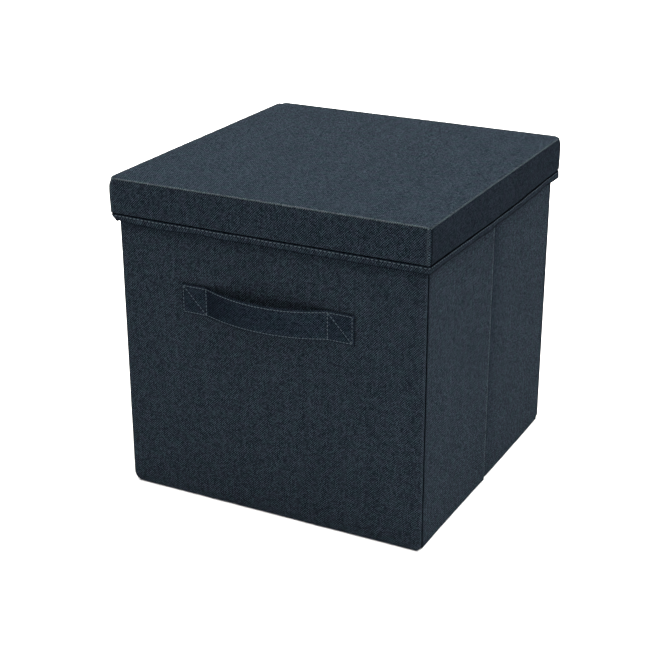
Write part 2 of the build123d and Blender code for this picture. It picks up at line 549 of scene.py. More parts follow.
def cloth_over(name, panel, material, rolls, corners, relief=None, tone=None):
    """Sheet of cloth pulled over a panel: its edges roll over and its corners are round.

    rolls are the radii of the left, right, low and high edge, and corners those of
    the low left, low right, high left and high right corner. relief and tone give
    the height and the lie of the nap at each point.
    """
    width, height, depth = panel.size
    left, right, low, high = (min(roll, depth - 0.02 * MM) for roll in rolls)
    xs, us, x_rim = mesh_rows(width, (left, right), depth)
    ys, vs, y_rim = mesh_rows(height, (low, high), depth)
    px, py = (a.ravel() for a in np.meshgrid(xs, ys, indexing="ij"))
    pu, pv = (a.ravel() for a in np.meshgrid(us, vs, indexing="ij"))
    rim = (x_rim[:, None] | y_rim[None, :]).ravel()

    # how far each point has gone over an edge, and how far it has sunk there
    sunk = np.zeros(len(px))
    for distance, roll in ((px, left), (width - px, right), (py, low), (height - py, high)):
        over = np.clip((roll - distance) / roll, 0, 1)
        sunk = np.maximum(sunk, roll * (1 - np.sqrt(1 - over ** 2)))
    sunk[rim] = depth

    # squeeze the square corners into round ones
    for k, corner in enumerate(corners):
        on_right, on_top = k % 2 == 1, k >= 2
        dx = np.maximum(corner - (width - px if on_right else px), 0)
        dy = np.maximum(corner - (height - py if on_top else py), 0)
        reach = np.hypot(dx, dy)
        scale = np.where(reach > 0, np.maximum(dx, dy) / np.maximum(reach, 1e-12), 1.0)
        px = px + (1 if on_right else -1) * dx * (scale - 1)
        py = py + (1 if on_top else -1) * dy * (scale - 1)
    local = np.column_stack([px, py, depth - sunk])
    if relief is not None:
        local[:, 2] += relief(px, py, width, height) * (1 - sunk / depth)
    rows, columns = len(xs), len(ys)
    faces = [
        (i * columns + j, (i + 1) * columns + j, (i + 1) * columns + j + 1, i * columns + j + 1)
        for i in range(rows - 1)
        for j in range(columns - 1)
    ]
    uvs = np.column_stack([pu, pv])
    tones = None if tone is None else tone(px, py, width, height)
    thing = make_object(name, panel.at(local), faces, uvs, material, tones=tones)
    return merge_doubles(thing, turn_out=False)


def uneven(seed, amount=0.15 * MM, wavelength=45 * MM):
    """Relief of cloth that is glued to a board: barely uneven."""
    def relief(x, y, width, height):
        points = np.column_stack([x, y, np.zeros(len(x))])
        return amount * (waves(points, wavelength, seed) + 0.35 * waves(points, wavelength / 4, seed + 1))
    return relief


def put(thing, body, slot, *nodes):
    """Makes a piece ride on a body, with a material slot, in place of CAD nodes."""
    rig.ride(thing, body)
    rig.slot(thing, slot)
    if nodes:
        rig.replaces(thing, *nodes)
    return thing


sheets = []


def is_sheet(thing, width, length, *rests_on):
    """Notes the flat size of a cloth, to be declared when everything is made."""
    sheets.append((thing, (width, length), list(rests_on)))


def same(value):
    return (value,) * 4


def lay_lining(node, body, outward, along, seed, trim=(0.0, 0.0), amount=0.1 * MM):
    """Non-woven lining over the inner face of a board, trimmed at its sides and at its ends."""
    sides, ends = trim
    panel = Panel(node, outward, along).grow(-sides, -sides, -ends, -ends)
    width, height, depth = panel.size
    relief = uneven(seed, amount)
    lining = cloth_over(f"{node}_cloth", panel, INSIDE, same(LINING_ROLL), same(2 * MM), relief)
    thicken(lining, LINING)
    put(lining, body, "lining_cloth", node)
    is_sheet(lining, width + 2 * depth, height + 2 * depth, node.replace("lining", "board"))


# ==================================================================== the walls
FLOOR_CLEARANCE = 0.9 * MM      # the walls' cloth ends this high above the floor
WALL_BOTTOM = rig.box("front_wall_cover")[0].z
FLAT_LINING = 0.03 * MM         # unevenness where the raised base insert lies against the back wall
FOLD_BULGE = 1.1 * MM           # how far the side walls stand out at their middle fold
FOLD_VALLEY = 1.1 * MM          # how deep the rear halves sink beside it
# the walls' cloth is painted darker from a little below the lid's hem upwards: a painted shadow
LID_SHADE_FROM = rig.box("lid_hem_front")[0].z - FLOOR_CLEARANCE - 3 * MM
LID_SHADE = 0.38                  # painted shadow: how much darker the walls' cloth is painted above that, under the lid's hem
CREST_HIGHLIGHT = 2.2                    # painted highlight: how much lighter it is painted on the crest of the fold
VALLEY_SHADE = 0.45                  # painted shade: how much darker it is painted in the valley beside it
SEAM_SHADE = 0.93                  # painted shade: how much darker it is painted in a corner seam


def wall_relief(seed, ridges, bulge_at=None, valley_at=None):
    """Unevenness, raised lines along edges, and the shape beside the middle fold."""
    base = uneven(seed)

    def relief(x, y, width, height):
        from_edge = {"left": x, "right": width - x}
        z = base(x, y, width, height)
        for side in ridges:
            z = z + 0.3 * MM * hill(from_edge[side] - 2.2 * MM, 0.9 * MM)
        if bulge_at is not None:
            z = z + FOLD_BULGE * (1 - from_edge[bulge_at] / width) ** 2
        if valley_at is not None:
            z = z - FOLD_VALLEY * np.exp(-from_edge[valley_at] / (9 * MM))
        return z
    return relief


def fold_light_and_shade(light_at=None, dark_at=None, seam_at=None, covered=False):
    """Painted highlight on the crest of a fold, painted shade in its valley or in a seam, and painted shadow under the
    lid's hem.
    """
    def tone(x, y, width, height):
        from_edge = {"left": x, "right": width - x}
        total = np.zeros(len(x))
        # painted shadow under the lid's hem
        if covered:
            total -= LID_SHADE / (1 + np.exp((LID_SHADE_FROM - y) / (1.6 * MM)))
        # painted highlight on the crest of the fold
        if light_at is not None:
            total += CREST_HIGHLIGHT * hill(from_edge[light_at] - 0.5 * MM, 1.4 * MM)
        # painted shade in the valley, darker towards the top
        if dark_at is not None:
            near = np.exp(-from_edge[dark_at] / (4 * MM))
            wide = np.exp(-from_edge[dark_at] / (14 * MM))
            total -= VALLEY_SHADE * near + 0.15 * wide + 0.33 * wide * (y / height) ** 2
        # painted shade in the corner seam
        if seam_at is not None:
            total -= SEAM_SHADE * hill(from_edge[seam_at], 2.3 * MM)
        return total
    return tone


SHARP_ROLL = 0.9 * MM
LOW_ROLL, HIGH_ROLL = 1.0 * MM, 1.5 * MM
FRONT_ROLLS = (1.6 * MM, 1.6 * MM, LOW_ROLL, HIGH_ROLL)
SIDE_ROLLS = (SHARP_ROLL, SHARP_ROLL, LOW_ROLL, HIGH_ROLL)
GROOVE = 0.3 * MM               # extra room between the cloth of a side wall and the front wall


def crumpling_foot(cover, name, body):
    """Cuts off the cloth below the board, which crumples when the wall folds in over the base."""
    foot = cut_level(cover, WALL_BOTTOM, name)
    thicken(foot, CLOTH)
    put(foot, body, "outer_cloth")
    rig.squash(foot, "side_fold", axis=(0, 0, 1), anchor=(0, 0, WALL_BOTTOM), keep=0.03)


def cover_wall(wall, body, panel, rolls, corners, relief, tone):
    """Outer cloth of one wall, pulled over its board."""
    width, height, depth = panel.size
    cover = cloth_over(f"{wall}_cloth", panel, OUTER, rolls, corners, relief, tone)
    if body != "back":
        crumpling_foot(cover, f"{wall}_foot_cloth", body)
    is_sheet(cover, width + 2 * depth, height + 2 * depth, f"{wall}_board")
    thicken(cover, CLOTH)
    put(cover, body, "outer_cloth", f"{wall}_cover")


def wall_panel(wall, outward, along, left=0.0, right=0.0):
    """A wall's place, with the cloth that hangs below its board."""
    panel = Panel(f"{wall}_cover", outward, along)
    return panel.grow(left=left, right=right, low=WALL_BOTTOM - FLOOR_CLEARANCE)


def end_wall(wall, body, outward, along, seed, corners, lining_amount):
    """The front or back wall."""
    relief = wall_relief(seed, ("left", "right"))
    panel = wall_panel(wall, outward, along)
    # painted shadow of the lid's hem on the top of the wall
    cover_wall(wall, body, panel, FRONT_ROLLS, corners, relief, fold_light_and_shade(covered=True))
    lay_lining(f"{wall}_lining", body, -outward, -along, seed + 5, (3 * MM, 0.0), lining_amount)


def front_half(side, outward, along, seed):
    """Front half of a side wall: it bulges at the middle fold, where a highlight is painted on its crest, and shade is
    painted in its corner seam.
    """
    wall = f"{side}_front"
    fold, seam = ("right", "left") if side == "right" else ("left", "right")
    panel = wall_panel(wall, outward, along, **{seam: -GROOVE})
    relief = wall_relief(seed, (fold,), bulge_at=fold)
    tone = fold_light_and_shade(light_at=fold, seam_at=seam)
    cover_wall(wall, wall, panel, SIDE_ROLLS, same(2 * MM), relief, tone)
    lay_lining(f"{wall}_lining", wall, -outward, -along, seed + 5)


def rear_half(side, outward, along, seed):
    """Rear half of a side wall: it sinks beside the middle fold, where shade is painted on its cloth."""
    wall = f"{side}_rear"
    fold = "left" if side == "right" else "right"
    panel = wall_panel(wall, outward, along)
    relief = wall_relief(seed, (), valley_at=fold)
    cover_wall(wall, wall, panel, SIDE_ROLLS, same(2 * MM), relief, fold_light_and_shade(dark_at=fold))
    lay_lining(f"{wall}_lining", wall, -outward, -along, seed + 5)


end_wall("front_wall", "front", -Y, X, 0, (9 * MM, 4 * MM, 2 * MM, 2 * MM), 0.1 * MM)
end_wall("back_wall", "back", Y, -X, 10, (5 * MM, 5 * MM, 2 * MM, 2 * MM), FLAT_LINING)
front_half("right", X, Y, 20)
rear_half("right", X, Y, 30)
front_half("left", -X, -Y, 40)
rear_half("left", -X, -Y, 50)


def rear_gusset(side, outward, along):
    """Folded cloth that fills a rear corner."""
    node = f"rear_corner_cloth_{side}"
    panel = Panel(node, outward, along).grow(low=WALL_BOTTOM - FLOOR_CLEARANCE)
    width, height, depth = panel.size
    gusset = cloth_over(f"{node}_fold", panel, OUTER, same(0.6 * MM), same(1.3 * MM))
    thicken(gusset, 0.6 * MM)
    put(gusset, "back", "outer_cloth", node)
    is_sheet(gusset, width + 2 * depth, height + 2 * depth, "back_wall_board")


rear_gusset("right", X, Y)
rear_gusset("left", -X, -Y)

# =========================================================== floor and base insert
FLOOR_INSET = 2.8 * MM          # the floor sheet ends inside the wall panels
FLOOR_SHEET = 0.6 * MM          # height of its turned-up edge above the floor
FLOOR_GATHER = 0.075            # share of its length that is left when the box is folded


def floor_sheet():
    """The floor cloth, which gathers under the box as the front wall closes against the back wall."""
    panel = Panel("floor_cloth", -Z, X).grow(*same(-FLOOR_INSET))
    panel.origin = panel.origin * (1, 1, 0) + Z * FLOOR_SHEET
    panel.size[2] = FLOOR_SHEET
    width, length, depth = panel.size
    sheet = cloth_over("floor_sheet", panel, OUTER, same(0.4 * MM), same(3 * MM))
    thicken(sheet, 0.4 * MM)
    put(sheet, "back", "outer_cloth", "floor_cloth")
    back_line = (0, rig.box("back_wall_cover")[1].y, 0)
    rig.squash(sheet, "side_fold", axis=(0, 1, 0), anchor=back_line, keep=FLOOR_GATHER)
    is_sheet(sheet, width + 2 * depth, length + 2 * depth, "back_wall_board")


def base_insert():
    """Cloth under the base insert's board and lining over it."""
    panel = Panel("base_cover", -Z, X)
    width, length, depth = panel.size
    under = cloth_over("base_cloth", panel, OUTER, same(0.8 * MM), same(4 * MM))
    thicken(under, 0.5 * MM)
    put(under, "base", "outer_cloth", "base_cover")
    is_sheet(under, width + 2 * depth, length + 2 * depth, "base_board")
    lay_lining("base_lining", "base", Z, X, 90, amount=FLAT_LINING)


floor_sheet()
base_insert()

# ========================================================================= lid
LID_BODY = "lid"
LID_CORNER = 2.6 * MM           # radius of the lid's upright corners
RIGHT_BOW, LEFT_BOW, END_BOW = 2.3 * MM, 1.8 * MM, 0.3 * MM     # bulge of the skirt at mid-length
CORNER_WEAR = 1.2 * MM          # how far the lid's top corners are drawn in, along each axis
CORNER_REACH = 4.2 * MM
SKIRT_TURN_IN = 3.4 * MM        # how far the skirt's lower edge is turned in under its boards
LID_SIDE_SHADE, LID_END_SHADE = -0.50, -0.10      # painted shade: the skirt's cloth is painted darker, most on its sides
SIDES = ("front", "back", "right", "left")

lid_x, lid_y, lid_top_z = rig.box("lid_top_cover")[1]
skirt_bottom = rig.box("lid_skirt_front_cover")[0].z


def box_path(half_x, half_y, radius, fine, coarse):
    """Once round a rectangle with round corners, counter-clockwise seen from above.

    Gives the points, the directions outwards, and for each point its distance from
    the nearest corner (negative on the front and back) and how far it is along its
    side, from 0 to 1.
    """
    points, outs, signed, shares = [], [], [], []
    corners = ((1, -1, -90, half_y), (1, 1, 0, half_x), (-1, 1, 90, half_y), (-1, -1, 180, half_x))
    for k, (sign_x, sign_y, start, next_half) in enumerate(corners):
        centre = np.array([sign_x * (half_x - radius), sign_y * (half_y - radius)])
        turning = 1 if k % 2 == 0 else -1
        angles = np.radians(np.linspace(start, start + 90, 13))
        for angle in angles:
            out = np.array([math.cos(angle), math.sin(angle)])
            points.append(centre + radius * out)
            outs.append(out)
            signed.append(turning * radius * (angle - angles[6]))
            shares.append(0.0)
        length = 2 * (next_half - radius)
        ahead = np.array([-outs[-1][1], outs[-1][0]])
        corner_point, arc = points[-1], radius * math.pi / 4
        for reach in graded(0, length, fine, coarse)[1:-1]:
            points.append(corner_point + ahead * reach)
            outs.append(outs[-1])
            near = min(reach, length - reach) + arc
            signed.append(turning * near)
            shares.append(reach / length)
    return tuple(np.array(rows) for rows in (points, outs, signed, shares))


def ring_mesh(name, rows, uvs, tones, closed_profile=False):
    """Cloth over rows of points that each go once round the box."""
    count, around = len(rows), len(rows[0])
    points = [point for row in rows for point in row]
    last = count if closed_profile else count - 1
    faces = [
        (m * around + k, ((m + 1) % count) * around + k,
         ((m + 1) % count) * around + (k + 1) % around, m * around + (k + 1) % around)
        for m in range(last)
        for k in range(around)
    ]
    return make_object(name, points, faces, uvs, OUTER, tones=tones)


path, outs, corner_distance, side_share = box_path(lid_x, lid_y, LID_CORNER, 0.6 * MM, 4.5 * MM)
flat_path = np.column_stack([path, np.zeros(len(path))])
arc_length = np.concatenate([[0], np.cumsum(np.linalg.norm(np.diff(path, axis=0), axis=1))])
outward_3d = np.column_stack([outs, np.zeros(len(outs))])

on_side = corner_distance > 0.3 * MM

# each corner seam bulges, with a ridge on the front's or back's side and a groove on the other
RIDGE_PLACE = 1.9 * MM          # from the corner's middle
seam_bulk = 0.5 * MM * hill(corner_distance, 1.8 * MM)
seam_ridge = 0.65 * MM * hill(corner_distance + RIDGE_PLACE, 1.3 * MM)
seam_groove = 0.12 * MM * hill(corner_distance - 0.6 * MM, 0.7 * MM)

most_bow = np.where(outs[:, 0] > 0.5, RIGHT_BOW, np.where(outs[:, 0] < -0.5, LEFT_BOW, END_BOW))
bow = most_bow * np.sin(math.pi * side_share) ** 2


def skirt_offset(share):
    """How far the skirt stands out of its nominal face, share 0 at its top and 1 at its bottom."""
    place = flat_path + Z * share * 30 * MM
    ripple = 0.16 * MM * (waves(place, 50 * MM, 301) + 0.4 * waves(place, 13 * MM, 302))
    swell = 0.3 * MM * math.sin(math.pi * share)
    seams = seam_ridge + seam_bulk - seam_groove
    return bow * (0.25 + 0.75 * share) + ripple * share ** 0.3 + swell + seams


def skirt_light_and_shade():
    """Painted light and shade of the skirt: painted darker, most on its sides, with a painted highlight on the ridge of
    each corner seam and painted shade beside it.
    """
    # painted highlight on each seam's ridge and painted shade beside it
    ridge = 0.5 * hill(corner_distance + RIDGE_PLACE, 1.4 * MM)
    valley = 0.36 * hill(corner_distance - 1.6 * MM, 1.4 * MM)
    return np.where(on_side, LID_SIDE_SHADE, LID_END_SHADE) + ridge - valley


def ring_row(offset, height):
    """Points round the lid at an offset from its nominal face."""
    return np.column_stack([path + outs * np.broadcast_to(offset, len(path))[:, None],
                            np.broadcast_to(height, len(path))])


def wear_corners(thing):
    """Blunts the lid's four top corners: their cloth is drawn in and down."""
    places = np.array([vertex.co for vertex in thing.data.vertices])
    from_corner = np.array([lid_x, lid_y, lid_top_z]) - np.abs(places)
    worn = CORNER_WEAR * hill(np.linalg.norm(from_corner, axis=1), CORNER_REACH)
    places -= np.sign(places) * worn[:, None]
    thing.data.vertices.foreach_set("co", places.ravel())


def lid_skirt():
    """Cloth round the skirt's boards, turned in at the top seam and under the boards."""
    height = lid_top_z - skirt_bottom
    # steps outwards and upwards, in millimetres, of the rows that turn in
    top_turn = [(-2.4, -0.75), (-1.6, -0.45), (-0.9, -0.35), (-0.35, -0.7), (-0.08, -1.3)]
    bottom_turn = [(-0.1, 1.1), (-0.4, 0.55), (-0.9, 0.2), (-1.8, 0.05)]
    rows = [ring_row(out * MM + seam_bulk, lid_top_z + up * MM) for out, up in top_turn]
    for share in np.linspace(0.06, 0.95, 13):
        rows.append(ring_row(skirt_offset(share), lid_top_z - share * height))
    for out, up in bottom_turn:
        rows.append(ring_row(out * MM + skirt_offset(1.0), skirt_bottom + up * MM))
    rows.append(ring_row(-SKIRT_TURN_IN, skirt_bottom + 0.1 * MM))
    run, uvs = 0.0, []
    for before, row in zip([rows[0]] + rows, rows):
        run += float(np.linalg.norm(row[20] - before[20]))
        uvs.append(np.column_stack([arc_length, np.full(len(path), -run)]))
    tones = np.tile(skirt_light_and_shade(), len(rows))
    skirt = ring_mesh("lid_skirt_cloth", rows, np.concatenate(uvs), tones)
    thicken(skirt, CLOTH)
    wear_corners(skirt)
    put(skirt, LID_BODY, "outer_cloth", *[f"lid_skirt_{side}_cover" for side in SIDES])
    is_sheet(skirt, arc_length[-1], run, *[f"lid_skirt_{side}_board" for side in SIDES])


TOP_INSET = 0.9 * MM            # the top's cloth ends in the seam, this far inside the edge
TOP_ROLLS = (0.7 * MM, 1.3 * MM, 1.3 * MM, 0.7 * MM)


def lid_top():
    """Cloth over the lid's top board."""
    panel = Panel("lid_top_cover", Z, X).grow(*same(-TOP_INSET))
    width, length, depth = panel.size
    relief = uneven(100, 0.22 * MM)
    top = cloth_over("lid_top_cloth", panel, OUTER, TOP_ROLLS, same(1.4 * MM), relief)
    thicken(top, CLOTH)
    wear_corners(top)
    put(top, LID_BODY, "outer_cloth", "lid_top_cover")
    is_sheet(top, width + 2 * depth, length + 2 * depth, "lid_top_board")


lid_skirt()
lid_top()
lay_lining("lid_top_lining", LID_BODY, -Z, X, 110, trim=(1.5 * MM, 1.5 * MM))
lay_lining("lid_skirt_front_lining", LID_BODY, Y, -X, 120)
lay_lining("lid_skirt_back_lining", LID_BODY, -Y, X, 130)
lay_lining("lid_skirt_right_lining", LID_BODY, -X, -Y, 140)
lay_lining("lid_skirt_left_lining", LID_BODY, X, Y, 150)


def cord_mesh(name, centre, outward, radius, tones, sides=7, twist=3.4 * MM):
    """Closed rope-like bead along a closed line; its girth swells once per twist."""
    count = len(centre)
    ahead = np.roll(centre, -1, 0) - np.roll(centre, 1, 0)
    ahead /= np.linalg.norm(ahead, axis=1)[:, None]
    upward = np.cross(ahead, outward)
    step = np.linalg.norm(centre - np.roll(centre, 1, 0), axis=1)
    reach = np.cumsum(step)
    swell = 0.07 * np.sin(2 * math.pi * reach / twist) + 0.08 * waves(centre, 9 * MM, 77)
    girth = radius * (1 + swell)
    points, uvs = [], []
    for s in range(sides):
        angle = 2 * math.pi * s / sides
        offset = (outward * math.cos(angle) + upward * math.sin(angle)) * girth[:, None]
        points.append(centre + offset)
        uvs.append(np.column_stack([reach, np.full(count, radius * angle)]))
    faces = [
        (s * count + k, s * count + (k + 1) % count,
         ((s + 1) % sides) * count + (k + 1) % count, ((s + 1) % sides) * count + k)
        for s in range(sides)
        for k in range(count)
    ]
    points, uvs, tones = np.concatenate(points), np.concatenate(uvs), np.tile(tones, sides)
    return merge_doubles(make_object(name, points, faces, uvs, OUTER, 80, tones))


def evenly(points, outward, step):
    """A closed line and its outward directions, resampled at even steps."""
    points, outward = (np.vstack([rows, rows[:1]]) for rows in (points, outward))
    reach = np.concatenate([[0], np.cumsum(np.linalg.norm(np.diff(points, axis=0), axis=1))])
    at = np.arange(round(reach[-1] / step)) * reach[-1] / round(reach[-1] / step)
    new_points = np.column_stack([np.interp(at, reach, points[:, a]) for a in range(3)])
    new_outward = np.column_stack([np.interp(at, reach, outward[:, a]) for a in range(3)])
    return new_points, new_outward / np.linalg.norm(new_outward, axis=1)[:, None]


SEAM_BEAD = 0.8 * MM            # radius of the seam that stands along the lid's top edge
# painted highlight: the seam's bead is painted lighter, most on the front and back
BEAD_END_HIGHLIGHT, BEAD_SIDE_HIGHLIGHT = 1.7, 0.9


def edge_seam():
    """The raised seam between the lid's top and its skirt, with a painted highlight along it."""
    line = ring_row(-0.45 * MM, lid_top_z - 0.2 * MM)
    points, outward = evenly(line, outward_3d, 0.85 * MM)
    tones = np.where(np.abs(outward[:, 0]) > 0.7, BEAD_SIDE_HIGHLIGHT, BEAD_END_HIGHLIGHT)
    bead = cord_mesh("lid_edge_seam", points, outward, SEAM_BEAD, tones)
    wear_corners(bead)
    put(bead, LID_BODY, "outer_cloth")


edge_seam()

# ------------------------------------------------ soft folded hem under the skirt
hem_low, hem_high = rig.box("lid_hem_front")
hem_height = hem_high.z - hem_low.z
HEM_THICK = 2.4 * MM
HEM_TOP_INSET = 0.2 * MM
HEM_PINCH = 1.5 * MM            # how far its top is drawn in under the skirt
# painted shade: the hem is painted darker, most on its sides, down to a darkest limit
HEM_SIDE_SHADE, HEM_END_SHADE, HEM_DARKEST_SHADE = -0.34, -0.06, -0.93
HEM_ROW = 0.95 * MM             # cloth from one of its rows to the next
HEM_SEAM = 0.24                 # its stitching is this share of the way down
HEM_SHARES = (0.0, 0.04, 0.09, 0.16, 0.27, 0.4, 0.55, 0.7, 0.82, 0.92, 0.98)
# painted shade: it is painted darker where it turns in, at its top and at its bottom
HEM_TURN_SHADE = (-0.8, -0.8, -0.6, -0.3, -0.2, -0.1, 0.0, 0.0, -0.2, -0.6, -0.9)

# the hem leans in at the front left corner and out at the rear right one
front_left = np.exp(-np.sum((path - (-lid_x, -lid_y)) ** 2, 1) / (20 * MM) ** 2)
rear_right = np.exp(-np.sum((path - (lid_x, lid_y)) ** 2, 1) / (25 * MM) ** 2)
hem_lean = 0.7 * MM * waves(flat_path, 75 * MM, 311) - 1.0 * MM
hem_lean = hem_lean - 2.6 * MM * front_left + 1.6 * MM * rear_right
hem_dip = 0.55 * MM * waves(flat_path, 60 * MM, 312) + 0.3 * MM
hem_belly = 0.3 * MM * waves(flat_path, 26 * MM, 313) + 0.3 * MM


def hem_row(share, inner=False, under=False):
    """Points round the hem's outer or inner face, share 0 at its top and 1 at its bottom."""
    swell = math.sin(math.pi * min(share, 1.0)) ** 0.7
    offset = bow - HEM_TOP_INSET - HEM_PINCH * math.exp(-share / 0.05)
    offset = offset + hem_lean * share ** 1.6 + hem_belly * swell
    if inner:
        offset = offset - HEM_THICK + 0.5 * MM * swell
    if under:
        offset = offset - HEM_THICK / 2
    depth = share * (hem_height + hem_dip) + (0.35 * MM if under else 0.0)
    return ring_row(offset, hem_high.z + 0.1 * MM - depth)


def lid_hem():
    """Soft folded hem: a closed fold of cloth that goes once round the lid."""
    rows = [hem_row(share) for share in HEM_SHARES] + [hem_row(1.0, under=True)]
    rows += [hem_row(share, inner=True) for share in reversed(HEM_SHARES)]
    falls = (*HEM_TURN_SHADE, HEM_TURN_SHADE[-1], *reversed(HEM_TURN_SHADE))
    uvs = [np.column_stack([arc_length, np.full(len(path), -m * HEM_ROW)]) for m in range(len(rows))]
    # painted shade on the hem
    base = np.where(on_side, HEM_SIDE_SHADE, HEM_END_SHADE)
    tones = np.concatenate([np.maximum(base + fall, HEM_DARKEST_SHADE) for fall in falls])
    hem = ring_mesh("lid_hem", rows, np.concatenate(uvs), tones, closed_profile=True)
    merge_doubles(hem)
    put(hem, LID_BODY, "outer_cloth", *[f"lid_hem_{side}" for side in SIDES])
    is_sheet(hem, arc_length[-1], hem_height + HEM_THICK, "lid_skirt_front_board")


lid_hem()

# ===================================================================== stitching
STITCH_SIDES, STITCH_RINGS = 6, 5
# spacing, length and thickness of the stitches
HEM_STITCH = (4.2 * MM, 2.6 * MM, 0.75 * MM)
STRAP_STITCH = (3.3 * MM, 2.6 * MM, 0.65 * MM)


def stitch_points(centre, along, out, length, thickness):
    """Rings of points round one stitch, which dips into the cloth at both ends."""
    side = np.cross(along, out)
    points = []
    for share in np.linspace(-1, 1, STITCH_RINGS):
        girth = thickness / 2 * (0.35 + 0.65 * math.cos(share * math.pi / 2) ** 0.7)
        middle = centre + along * share * length / 2 - out * 0.3 * thickness * share ** 2
        for s in range(STITCH_SIDES):
            angle = 2 * math.pi * s / STITCH_SIDES
            points.append(middle + (side * math.cos(angle) + out * math.sin(angle)) * girth)
    return points


def stitch_faces(first):
    """Faces of one stitch whose points start at the given number."""
    faces = []
    for r in range(STITCH_RINGS - 1):
        for s in range(STITCH_SIDES):
            a = first + r * STITCH_SIDES + s
            b = first + r * STITCH_SIDES + (s + 1) % STITCH_SIDES
            faces.append((a, b, b + STITCH_SIDES, a + STITCH_SIDES))
    last = first + (STITCH_RINGS - 1) * STITCH_SIDES
    faces.append(tuple(first + s for s in reversed(range(STITCH_SIDES))))
    faces.append(tuple(last + s for s in range(STITCH_SIDES)))
    return faces


def stitches(name, runs, body, sizes):
    """Rows of single stitches. A run is (points, outward directions) along a seam."""
    pitch, length, thickness = sizes
    points, faces, uvs = [], [], []

    def at(place, reach, rows):
        return np.array([np.interp(place, reach, rows[:, a]) for a in range(3)])

    for line, outward in runs:
        reach = np.concatenate([[0], np.cumsum(np.linalg.norm(np.diff(line, axis=0), axis=1))])
        count = max(1, int(reach[-1] // pitch))
        for centre in (np.arange(count) + 0.5) * reach[-1] / count:
            ahead = at(centre + 0.5 * MM, reach, line) - at(centre - 0.5 * MM, reach, line)
            ahead /= np.linalg.norm(ahead)
            out = at(centre, reach, outward)
            out /= np.linalg.norm(out)
            faces += stitch_faces(len(points))
            points += stitch_points(at(centre, reach, line), ahead, out, length, thickness)
            for share in np.linspace(-1, 1, STITCH_RINGS):
                for s in range(STITCH_SIDES):
                    across = math.pi * s / STITCH_SIDES * thickness
                    uvs.append((centre + share * length / 2, across))
    return put(merge_doubles(make_object(name, points, faces, uvs, THREAD, 60)), body, "thread")


def hem_stitching():
    """One row of stitches along the hem, sunk deeper at the sides."""
    depth = np.where(np.abs(outs[:, :1]) > 0.7, -0.12 * MM, 0.2 * MM)
    line = hem_row(HEM_SEAM) + outward_3d * depth
    run = tuple(np.vstack([rows, rows[:1]]) for rows in (line, outward_3d))
    stitches("lid_hem_stitching", [run], LID_BODY, HEM_STITCH)


hem_stitching()

# ================================================================= strap handles
STRAP_THICK = 2.0 * MM
STRAP_END = 28 * MM
STRAP_BOW = 9 * MM
STRAP_SAG = 3.0 * MM
SEAM_INSET = 2 * MM             # from the strap's edges and ends
SHADE_SLOPE, HIGHLIGHT_SLOPE = 1.5, 0.5      # painted shade and light: how much darker or lighter the strap is painted with its slope
STRAP_TILT = math.radians(6)    # the free stretch leans, its upper edge further out


def strap_line(t, half):
    """Distance off the wall, sag and lean of the strap's middle line at t, from -half to half."""
    share = min(abs(t) / (half - STRAP_END), 1.0)
    rise = 1 - share ** 2.4
    return STRAP_BOW * rise, STRAP_SAG * (1 - share ** 2) ** 1.2, STRAP_TILT * rise


def strap_section(height):
    """Outline of the flat strap's cross-section, as (up, outwards), with round edges."""
    edge = STRAP_THICK / 2
    across = np.linspace(-height / 2 + edge, height / 2 - edge, 13)
    turns = (0.8, math.pi / 2, 2.34)
    outline = [(z, edge) for z in across]
    outline += [(height / 2 - edge + edge * math.sin(a), edge * math.cos(a)) for a in turns]
    outline += [(z, -edge) for z in across[::-1]]
    outline += [(-height / 2 + edge - edge * math.sin(a), -edge * math.cos(a)) for a in turns]
    return outline


def strap_mesh(name, place, half, height):
    """Skin of the strap, painted darker where it leaves the wall and lighter where it comes back: painted shade and
    light.
    """
    free = half - STRAP_END
    stations = np.concatenate([
        np.linspace(-half, -free, 9)[:-1], np.linspace(-free, free, 49), np.linspace(free, half, 9)[1:]
    ])
    outline = strap_section(height)
    count = len(outline)
    steps = [math.dist(a, b) for a, b in zip(outline, outline[1:])]
    girth = np.concatenate([[0], np.cumsum(steps)])
    points = [place(t, z, out) for t in stations for z, out in outline]
    uvs = [(v, t + half) for t in stations for v in girth]
    slopes = np.gradient([strap_line(t, half)[0] for t in stations], stations)
    # painted shade and painted light along the strap's slope
    tones = np.repeat(np.where(slopes > 0, -SHADE_SLOPE, -HIGHLIGHT_SLOPE) * slopes, count)
    faces = [
        (k * count + m, k * count + (m + 1) % count, (k + 1) * count + (m + 1) % count, (k + 1) * count + m)
        for k in range(len(stations) - 1)
        for m in range(count)
    ]
    faces.append(tuple(range(count)))
    faces.append(tuple((len(stations) - 1) * count + m for m in reversed(range(count))))
    return merge_doubles(make_object(name, points, faces, uvs, STRAP, tones=tones))


def strap_seams(place, half, height, sign):
    """Two long seams, and across each sewn-down end two short ones and a diagonal."""
    def run(start, end, steps=2):
        ts, zs = (np.linspace(a, b, steps) for a, b in zip(start, end))
        line = np.array([place(t, z, STRAP_THICK / 2 + 0.15 * MM) for t, z in zip(ts, zs)])
        return line, np.tile((0.0, sign, 0.0), (steps, 1))

    seam, tip = height / 2 - SEAM_INSET, half - SEAM_INSET
    runs = [run((-tip, z), (tip, z), 90) for z in (-seam, seam)]
    for end in (-1, 1):
        left, right = sorted((end * tip, end * (half - STRAP_END + 1 * MM)))
        runs += [run((t, -seam), (t, seam)) for t in (left, right)]
        runs.append(run((left, sign * -seam), (right, sign * seam)))
    return runs


